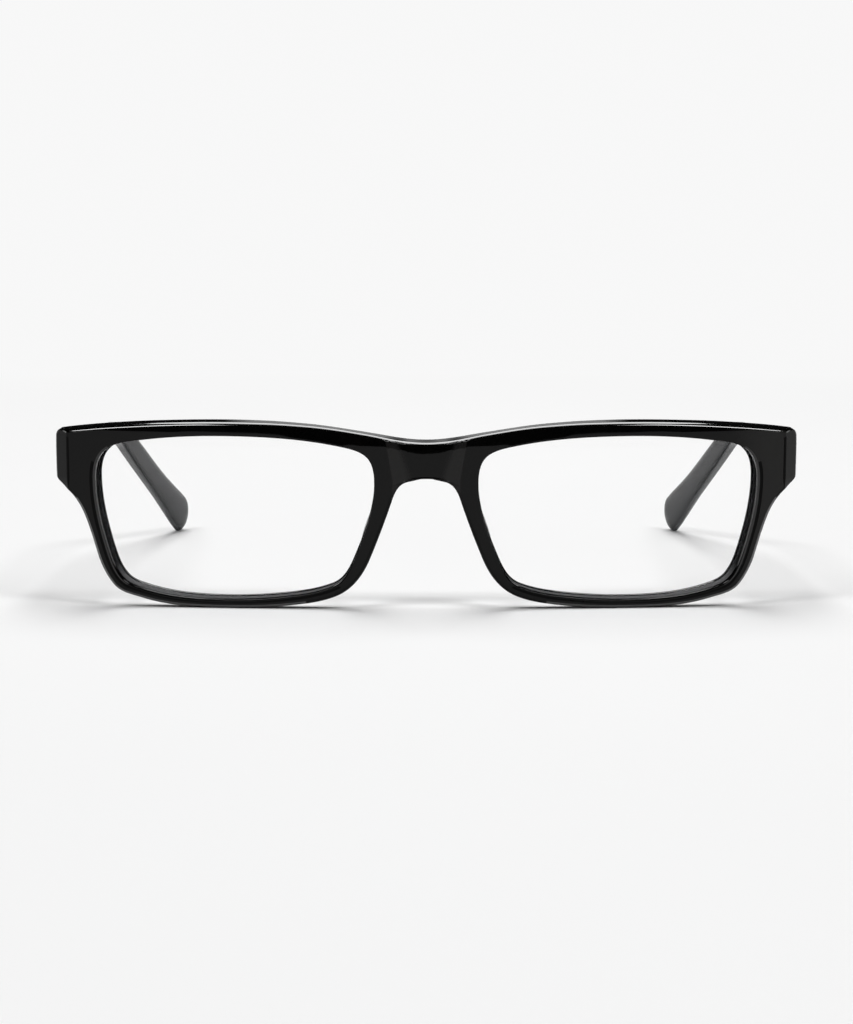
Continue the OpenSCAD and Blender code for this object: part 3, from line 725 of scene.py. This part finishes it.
# Rings along the temple: up to just before the bend, from there to the tip, and round it
TEMPLE_K, CORE_K, CORE_SKIP = 128, 64, 3
RINGS_LEAD, RINGS_FRONT, RINGS_BACK, RINGS_TIP, TIP_TURN = 6, 70, 90, 26, 89
UNDER_AT, UNDER_HALF = 270, 27
WALK_STEP = 0.05


def tuck_at(a):
    """How far the temple has turned inwards at a distance along it, in degrees."""
    return TUCK_ANGLE * ease((a - BEND_AT + TUCK_LEAD) / TUCK_LEN)


def heading(a):
    slope = PANTO + BEND_ANGLE * np.clip((a - BEND_AT) / BEND_LEN, 0, 1)
    tuck = tuck_at(a)
    return np.stack([-sin(tuck) * cos(slope), cos(tuck) * cos(slope), -sin(slope)], -1)


def side_axis(a):
    tuck = tuck_at(a)
    roll = TIP_ROLL * ease((a - BEND_AT) / (TEMPLE_LEN - BEND_AT))
    out = np.stack([cos(tuck), sin(tuck), 0 * a], -1)
    up = np.cross(out, heading(a))
    return out * cos(roll)[..., None] + up * sin(roll)[..., None]


def end_round(a):
    k = np.clip((a - TEMPLE_LEN + TIP_ROUND) / TIP_ROUND, 0, 1)
    return np.sqrt(np.maximum(ROUND_LEAST, 1 - k * k))


def temple_height(a):
    front = mix(BUTT_H, BEND_H, ease(a / TAPER_LEN))
    back = mix(BEND_H, TIP_H, np.clip((a - BEND_AT) / (TIP_FULL - BEND_AT), 0, 1))
    return np.where(a < BEND_AT, front, back) * end_round(a)


def temple_thickness(a):
    front = mix(BUTT_THK, BEND_THK, np.clip(a / (BEND_AT - THIN_LEAD), 0, 1))
    back = mix(BEND_THK, TIP_THK, (a - BEND_AT) / (TEMPLE_LEN - BEND_AT))
    return np.where(a < BEND_AT, front, back) * end_round(a) ** ROUND_THIN


def power(c, e):
    return np.sign(c) * np.abs(c) ** e


def ring_at(centre, a, w, h, e, sides):
    out = side_axis(a)
    up = np.cross(out, heading(a))
    t = 360 * (np.arange(sides) + 0.5) / sides
    return centre[:, None] + (
        (w[:, None] * power(cos(t), e[:, None]))[..., None] * out[:, None]
        + (h[:, None] * power(sin(t), e[:, None]))[..., None] * up[:, None]
    )


def on_butt(ring):
    """Slides a ring along the temple onto the cut that meets the endpiece."""
    origin = HINGE_MID - (AXIS_OFF - BUTT_GAP) * BUTT_NORMAL
    d = heading(np.array(0.0))
    return ring + d * (((origin - ring) @ BUTT_NORMAL) / (d @ BUTT_NORMAL))[:, None]


def temple_path(stops):
    fine = np.arange(0, TEMPLE_LEN + WALK_STEP, WALK_STEP)
    steps = heading(fine[:-1] + WALK_STEP / 2) * WALK_STEP
    path = np.concatenate([[BUTT_POINT], BUTT_POINT + np.cumsum(steps, 0)])
    return np.stack([np.interp(stops, fine, path[:, i]) for i in range(3)], 1)


def temple_skin(stops):
    square = mix(BUTT_SQUARE, BEND_SQUARE, ease(stops / BEND_AT))
    square = mix(square, TIP_SQUARE, ease((stops - BEND_AT) / (TEMPLE_LEN - BEND_AT)))
    half_w, half_h = temple_thickness(stops) / 2, temple_height(stops) / 2
    return ring_at(temple_path(stops), stops, half_w, half_h, square, TEMPLE_K)


def temple_bore(stops):
    aside = CORE_SIDE * (1 - ease(stops / BEND_AT))
    middle = temple_path(stops) + aside[:, None] * side_axis(stops)
    radius = np.full(len(stops), CORE_D / 2 + CORE_GAP)
    return ring_at(middle, stops, radius, radius, np.ones(len(stops)), CORE_K)


def build_temple(side, lean, shift, materials):
    lead, tip_start = BEND_AT - RINGS_LEAD, TEMPLE_LEN - TIP_ROUND
    stops = np.concatenate(
        [
            np.linspace(0, lead, RINGS_FRONT, endpoint=False),
            np.linspace(lead, tip_start, RINGS_BACK, endpoint=False),
            TEMPLE_LEN - TIP_ROUND * (1 - sin(np.linspace(0, TIP_TURN, RINGS_TIP))),
        ]
    )
    skin = temple_skin(stops)
    skin[0] = on_butt(skin[0])
    bore_stops = stops[stops < tip_start - BORE_SHORT][::CORE_SKIP]
    bore = temple_bore(bore_stops)
    bore[0] = on_butt(bore[0])
    points = np.concatenate([skin.reshape(-1, 3), bore.reshape(-1, 3)])
    first = len(stops) * TEMPLE_K
    faces = bars(len(stops), TEMPLE_K) + bars(len(bore_stops), CORE_K, first, True)
    for j in range(CORE_K):
        o, b, c = 2 * j, first + j, first + (j + 1) % CORE_K
        faces += [(o, o + 1, b), (o + 1, c, b), (o + 1, (o + 2) % TEMPLE_K, c)]
    tip = first - TEMPLE_K
    faces.append(tuple(range(tip, tip + TEMPLE_K)))
    floor = first + (len(bore_stops) - 1) * CORE_K
    faces.append(tuple(range(floor + CORE_K - 1, floor - 1, -1)))
    if side < 0:
        faces = [f[::-1] for f in faces]
    node = sided("temple_", side)
    points = fit_into(stand(points * (side, 1, 1), lean, shift), node)
    piece = make_piece(node + "_acetate", points, faces)
    round_at = 360 * (np.arange(tip) % TEMPLE_K + 1) / TEMPLE_K
    under = np.zeros(len(faces), int)
    under[:tip] = np.abs(round_at - UNDER_AT) < UNDER_HALF
    paint(piece, materials, under)
    cut_pocket(piece, temple_pocket(side, lean, shift))
    shade(piece)
    return piece


# ---- Materials ----
# Linear colours, and how much darker stained steel is
BLACK, BLACK_PALE = (0.0008, 0.0008, 0.0008), (0.0016, 0.0015, 0.0014)
# The grey that the painted sheen lifts the face's colour to.
SHEEN_PAINT_GREY = (0.0133, 0.0129, 0.0125)
# A lens edge's painted shade and painted light.
GROUND_SHADE_PAINT, GROUND_LIGHT_PAINT = (0.012, 0.012, 0.012), (0.125, 0.125, 0.127)
LENS_REFLECT, LENS_PASS = (0.10, 0.11, 0.13, 1), (0.97, 0.975, 0.98, 1)
HINGE_GREY, WIRE_GREY, STAINED = (0.60, 0.60, 0.61), (0.50, 0.50, 0.51), 0.8
PAPER_DARK, PAPER_PALE, WHITE = (0.92, 0.92, 0.92), (0.94, 0.94, 0.94), (1, 1, 1, 1)
# How deep the hairlines are against the ripple, and the heights in metres between which a
# lens's edge turns from pale to dark: painted light on its lower edge, painted shade above
SCRATCH = 0.02
GROUND_LIT_Z = (0.0052, 0.008)


class Nodes:
    """A small help to write node trees: add a node, set its inputs and link them."""

    def __init__(self, owner):
        owner.use_nodes = True
        self.tree = owner.node_tree
        self.tree.nodes.clear()

    def add(self, kind, out=0, settings=None, **inputs):
        """Adds a node and gives one of its outputs, or all of them for out=None. An input
        is named with _ for each space, or by its number after an i."""
        node = self.tree.nodes.new(kind)
        for key, value in (settings or {}).items():
            setattr(node, key, value)
        for key, value in inputs.items():
            socket = node.inputs[int(key[1:]) if key[1:].isdigit() else key.replace("_", " ")]
            if isinstance(value, bpy.types.NodeSocket):
                self.tree.links.new(value, socket)
            else:
                socket.default_value = value
        return node.outputs if out is None else node.outputs[out]

    def finish(self, shader, kind="Material"):
        self.add("ShaderNodeOutput" + kind, out=None, Surface=shader)

    def where(self, out=3):
        return self.add("ShaderNodeTexCoord", out=out)

    def split(self, vector):
        return self.add("ShaderNodeSeparateXYZ", out=None, i0=vector)

    def math(self, operation, a, b=0.5, clamp=False):
        settings = {"operation": operation, "use_clamp": clamp}
        return self.add("ShaderNodeMath", settings=settings, i0=a, i1=b)

    def noise(self, where, scale, detail=2.0, roughness=0.5):
        return self.add(
            "ShaderNodeTexNoise", Vector=where, Scale=scale, Detail=detail, Roughness=roughness
        )

    def ramp(self, value, low, high, to_low, to_high):
        return self.add(
            "ShaderNodeMapRange",
            settings={"clamp": True},
            Value=value,
            From_Min=low,
            From_Max=high,
            To_Min=to_low,
            To_Max=to_high,
        )

    def stretched(self, where, scale, turn=(0, 0, 0)):
        return self.add("ShaderNodeMapping", Vector=where, Scale=scale, Rotation=turn)

    def colours(self, value, low, high):
        """Mixes two colours, of which the first may come from another node."""
        low = low if isinstance(low, bpy.types.NodeSocket) else (*low, 1)
        settings = {"data_type": "RGBA"}
        return self.add("ShaderNodeMix", 2, settings, i0=value, i6=low, i7=(*high, 1))

    def matt(self, colour, rough):
        return self.add(
            "ShaderNodeBsdfPrincipled", Base_Color=colour, Roughness=rough, Specular_IOR_Level=0.1
        )


def acetate(name, rough, shine, spread=0.05, sheen_painted=False, index=1.5):
    """Black acetate: a deep polish with faint haze, hairline scratches and a soft ripple."""
    material = bpy.data.materials.new(name)
    n = Nodes(material)
    where = n.where()
    cloud = n.noise(where, 90, 3)
    haze = n.noise(where, 700, 4, 0.6)
    hair_a = n.noise(n.stretched(where, (900, 12000, 9000), (0.2, 0.1, 0.5)), 1, 2)
    hair_b = n.noise(n.stretched(where, (11000, 1000, 9000), (0.4, -0.3, -0.4)), 1, 2)
    hairs = n.math("MAXIMUM", n.ramp(hair_a, 0.66, 0.74, 0, 1), n.ramp(hair_b, 0.67, 0.75, 0, 1))
    colour = n.colours(n.ramp(cloud, 0.35, 0.65, 0, 1), BLACK, BLACK_PALE)
    # Where asked, a painted sheen lifts the colour to grey by the piece's attribute.
    if sheen_painted:
        painted_sheen = n.add("ShaderNodeAttribute", 2, {"attribute_name": SHEEN_ATTRIBUTE})
        colour = n.colours(painted_sheen, colour, SHEEN_PAINT_GREY)
    base = n.ramp(haze, 0.35, 0.7, rough, rough + spread)
    roughness = n.math("ADD", base, n.math("MULTIPLY", hairs, spread))
    ripple = n.noise(where, 160, 2)
    height = n.math("ADD", ripple, n.math("MULTIPLY", hairs, -SCRATCH))
    bump = n.add("ShaderNodeBump", Strength=0.05, Distance=0.0002, Height=height)
    shader = n.add(
        "ShaderNodeBsdfPrincipled",
        Base_Color=colour,
        Roughness=roughness,
        Specular_IOR_Level=shine,
        IOR=index,
        Normal=bump,
    )
    n.finish(shader)
    return material


def clear_lens(name):
    """Clear optical plastic that lets the lamps through."""
    material = bpy.data.materials.new(name)
    n = Nodes(material)
    film = n.ramp(n.noise(n.where(), 220, 3), 0.4, 0.75, 0.0, 0.02)
    glass = n.add(
        "ShaderNodeBsdfPrincipled",
        Base_Color=WHITE,
        Roughness=film,
        IOR=1.5,
        Transmission_Weight=1.0,
        Specular_Tint=LENS_REFLECT,
    )
    clear = n.add("ShaderNodeBsdfTransparent", Color=LENS_PASS)
    path = n.add("ShaderNodeLightPath", out=None)
    lighting = n.math("MAXIMUM", path["Is Shadow Ray"], path["Is Diffuse Ray"])
    n.finish(n.add("ShaderNodeMixShader", i0=lighting, i1=glass, i2=clear))
    return material


def ground_edge(name):
    """The lens's edge, ground to a bevel and left matt: painted light makes it pale low down, and
    painted shade dark higher up, against the rim behind it.
    """
    material = bpy.data.materials.new(name)
    n = Nodes(material)
    where = n.where()
    # Painted light below a height and painted shade above it.
    low = n.ramp(n.split(where)[2], *GROUND_LIT_Z, 1, 0)
    grit = n.ramp(n.noise(where, 2500, 2), 0.35, 0.65, -0.06, 0.06)
    colour = n.colours(n.math("ADD", low, grit, True), GROUND_SHADE_PAINT, GROUND_LIGHT_PAINT)
    n.finish(n.matt(colour, 0.7))
    return material


def steel(name, base, rough, grain):
    """Turned or drawn steel with fine tool marks along one direction."""
    material = bpy.data.materials.new(name)
    n = Nodes(material)
    where = n.where()
    marks = n.noise(n.stretched(where, grain), 1, 3, 0.6)
    stain = n.noise(where, 900, 3)
    colour = n.colours(n.ramp(stain, 0.35, 0.7, 0, 1), base, [c * STAINED for c in base])
    roughness = n.ramp(marks, 0.3, 0.7, rough, rough + 0.14)
    bump = n.add("ShaderNodeBump", Strength=0.25, Distance=0.00002, Height=marks)
    shader = n.add(
        "ShaderNodeBsdfPrincipled",
        Base_Color=colour,
        Metallic=1.0,
        Roughness=roughness,
        Normal=bump,
    )
    n.finish(shader)
    return material


def dress(piece, material):
    piece.data.materials.clear()
    piece.data.materials.append(material)


def dress_node(node, material):
    for i in range(max(1, len(node.material_slots))):
        if not node.material_slots:
            node.data.materials.append(material)
        node.material_slots[i].link = "OBJECT"
        node.material_slots[i].material = material


# ---- Studio ----
CAMERA_AIM = (0, -0.0690, 0.01794)
CAMERA_DISTANCE, CAMERA_ELEVATION, SENSOR, CLIP = 0.56, 5.65, 36, (0.01, 50)
FOCAL_PX, FRAME_W, CENTRE_PX = 3065.4, 853, 426.3
# Soft boxes: size, place and radiance. The overhead box's length ends where the brow's
# upper highlight ends, and the side box is one of a pair.
KEY_SIZE, KEY_PLACE, KEY_SHINE = (0.66, 1.6), (0, 0.62, 1.2), 4.8
SIDE_SIZE, SIDE_PLACE, SIDE_SHINE = (0.49, 0.45), (0.60, -0.78, 1.2), 9.7
FLOOR_R, FLOOR_SIDES, FLOOR_FADE = 6, 96, (0.22, 0.75)
# The white band at the horizon ends between two heights in degrees, and between two values
# of the direction's y. The card's half width, the softness of its sides, its top and the
# fade above that are in degrees too.
HORIZON, ROOM = 0.935, 0.004
BAND_TOP, BAND_BACK = (7.5, 9.5), (-0.75, -0.35)
CARD, CARD_HALF, CARD_SOFT, CARD_TOP, CARD_FADE = 0.45, 3.6, 0.5, 24, 3
LEAST_DEPTH = 0.001


def look_from(point, target):
    return (Vector(target) - Vector(point)).to_track_quat("-Z", "Y")


def add_camera():
    camera = bpy.data.objects.new("camera", bpy.data.cameras.new("camera"))
    bpy.context.scene.collection.objects.link(camera)
    aim = Vector(CAMERA_AIM)
    back = Vector((0, -cos(CAMERA_ELEVATION), sin(CAMERA_ELEVATION)))
    camera.location = aim + CAMERA_DISTANCE * back
    camera.rotation_mode = "QUATERNION"
    camera.rotation_quaternion = look_from(camera.location, aim)
    camera.data.sensor_fit = "HORIZONTAL"
    camera.data.sensor_width = SENSOR
    camera.data.lens = SENSOR * FOCAL_PX / FRAME_W
    camera.data.shift_x = (FRAME_W / 2 - CENTRE_PX) / FRAME_W
    camera.data.clip_start, camera.data.clip_end = CLIP
    bpy.context.scene.camera = camera


def lamp(name, size, place, radiance):
    """A soft box that looks straight down and shines as bright as radiance, 1 being white."""
    light = bpy.data.lights.new(name, "AREA")
    light.shape, light.size, light.size_y = "RECTANGLE", size[0], size[1]
    light.energy = radiance * math.pi * size[0] * size[1]
    holder = bpy.data.objects.new(name, light)
    bpy.context.scene.collection.objects.link(holder)
    holder.location = place
    holder.rotation_mode = "QUATERNION"
    holder.rotation_quaternion = look_from(place, (place[0], place[1], 0))


def add_studio():
    lamp("key_box", KEY_SIZE, KEY_PLACE, KEY_SHINE)
    for side in (-1, 1):
        lamp("side_box", SIDE_SIZE, (side * SIDE_PLACE[0], *SIDE_PLACE[1:]), SIDE_SHINE)
    add_world()
    floor = make_piece("floor", *disc(FLOOR_R, FLOOR_SIDES))
    dress(floor, floor_paper())


def disc(radius, sides):
    around = [360 * i / sides for i in range(sides)]
    rim = [(radius * cos(a), radius * sin(a), 0) for a in around]
    return [(0, 0, 0)] + rim, [(0, 1 + i, 1 + (i + 1) % sides) for i in range(sides)]


def floor_paper():
    material = bpy.data.materials.new("white_paper")
    n = Nodes(material)
    where = n.where()
    tone = n.ramp(n.noise(where, 3, 2), 0.3, 0.7, 0, 1)
    paper = n.matt(n.colours(tone, PAPER_DARK, PAPER_PALE), 0.9)
    # Far from the object the paper is white for every ray that shows it
    away = n.add("ShaderNodeVectorMath", 1, {"operation": "LENGTH"}, i0=where)
    path = n.add("ShaderNodeLightPath", out=None)
    shown = n.math("ADD", path["Is Camera Ray"], path["Is Glossy Ray"])
    shown = n.math("ADD", shown, path["Is Transmission Ray"], True)
    share = n.math("MULTIPLY", n.ramp(away, *FLOOR_FADE, 0, 1), shown)
    white = n.add("ShaderNodeEmission", Color=WHITE, Strength=HORIZON)
    n.finish(n.add("ShaderNodeMixShader", i0=share, i1=paper, i2=white))
    return material


def add_world():
    """White at the horizon, a dim room above it, and a pale card high behind the object."""
    world = bpy.data.worlds.new("studio")
    bpy.context.scene.world = world
    n = Nodes(world)
    x, y, z = n.split(n.where(0))
    band = n.ramp(z, sin(BAND_TOP[0]), sin(BAND_TOP[1]), 1, 0)
    band = n.math("MULTIPLY", band, n.ramp(y, *BAND_BACK, 0, 1))
    side = n.math("DIVIDE", n.math("ABSOLUTE", x), n.math("MAXIMUM", y, LEAST_DEPTH))
    edges = [math.tan(math.radians(CARD_HALF + d)) for d in (-CARD_SOFT, CARD_SOFT)]
    low = n.ramp(z, sin(CARD_TOP), sin(CARD_TOP + CARD_FADE), 1, 0)
    card = n.math("MULTIPLY", n.ramp(side, *edges, 1, 0), low)
    room = n.math("MAXIMUM", n.math("MULTIPLY", card, CARD), ROOM)
    level = n.math("MAXIMUM", n.math("MULTIPLY", band, HORIZON), room)
    n.finish(n.add("ShaderNodeBackground", Color=WHITE, Strength=level), "World")


# ---- The whole ----
# The steel pieces' softened edges: width in millimetres, segments, least angle in degrees
EDGE_W, EDGE_SEGMENTS, EDGE_ANGLE = 0.06, 2, 40


def main():
    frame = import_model()
    nodes = frame["nodes"]
    joint = next(j for j in frame["joints"] if j["name"] == "fold_left")
    lean, shift = standing(joint)
    add_camera()
    add_studio()

    # The face and filed materials carry the painted sheen.
    soft = acetate("black_acetate_face", 0.06, 0.16, sheen_painted=True)
    sheen_painted = acetate("black_acetate_filed", 0.06, 0.11, sheen_painted=True)
    polished = acetate("black_acetate_polished", 0.04, 1.0, index=1.6)
    satin = acetate("black_acetate_temple", 0.08, 0.055)
    under = acetate("black_acetate_under", 0.05, 0.5)
    glass = clear_lens("clear_lens")
    ground = ground_edge("lens_ground_edge")
    hinge = steel("hinge_steel", HINGE_GREY, 0.22, (9000, 9000, 600))
    wire = steel("wire_steel", WIRE_GREY, 0.3, (6000, 600, 6000))

    front = build_front(lean, shift, (soft, polished, sheen_painted, satin, under))
    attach(front, "front_body")
    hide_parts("front")
    for side, word in ((1, "left"), (-1, "right")):
        lens = build_lens(side, lean, shift, (glass, ground))
        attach(lens, "front_body")
        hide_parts("lens_" + word)
        pad = build_pad(side, lean, shift)
        dress(pad, polished)
        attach(pad, "front_body")
        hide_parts("nose_pad_" + word)
        temple = build_temple(side, lean, shift, (satin, under))
        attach(temple, "temple_" + word + "_body")
        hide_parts("temple_" + word)
        for name in ("front_hinge_", "temple_hinge_", "hinge_screw_"):
            node = nodes[name + word]
            dress_node(node, hinge)
            bevel = node.modifiers.new("edges", "BEVEL")
            bevel.width, bevel.segments = EDGE_W * MM, EDGE_SEGMENTS
            bevel.limit_method, bevel.angle_limit = "ANGLE", math.radians(EDGE_ANGLE)
        dress_node(nodes["core_wire_" + word], wire)

    bpy.context.scene.view_settings.view_transform = "Standard"


main()
